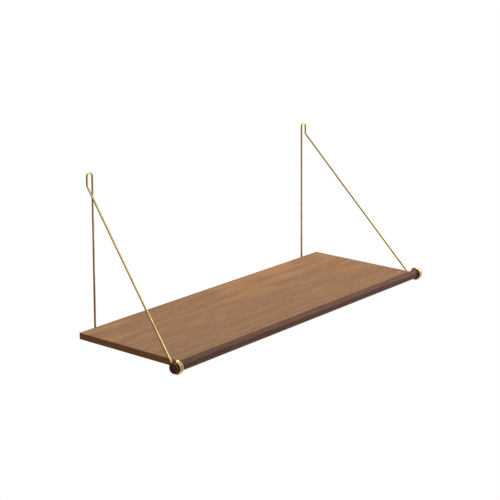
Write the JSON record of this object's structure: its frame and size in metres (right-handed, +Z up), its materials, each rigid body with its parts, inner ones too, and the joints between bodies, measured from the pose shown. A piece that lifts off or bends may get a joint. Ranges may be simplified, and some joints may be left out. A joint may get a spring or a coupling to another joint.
{
  "type": "wall shelf",
  "caption": "Wooden wall shelf with a round front rail, hung on bent brass wires that loop over wall screws and coil round the rail's ends.",
  "frame": {"origin": "centre of the board's rear face, which the wires hold 8 mm in front of the wall", "axes": "+X along the shelf, +Y into the wall, +Z up"},
  "size_m": [0.8066, 0.2864, 0.3297],
  "materials": {
    "board_wood": "oiled brown wood with fine straight grain along the length",
    "rail_wood": "oiled brown wood, turned round, slightly darker than the board",
    "knob_wood": "dark end grain, turned and oiled",
    "dowel_wood": "plain beech, hidden",
    "brass_wire": "polished brass wire"
  },
  "bodies": {
    "brackets": {"left_wire_bracket": "brass_wire", "right_wire_bracket": "brass_wire"},
    "shelf": {"shelf_board": "board_wood", "front_rail": "rail_wood", "rail_dowels": "dowel_wood", "left_end_knob": "knob_wood", "right_end_knob": "knob_wood"}
  },
  "joints": [
    {"name": "shelf_lift", "type": "hinge", "parent": "brackets", "child": "shelf", "pos_m": [0, -0.2645, 0], "axis": [1, 0, 0], "range_deg": [0, 25]}
  ]
}
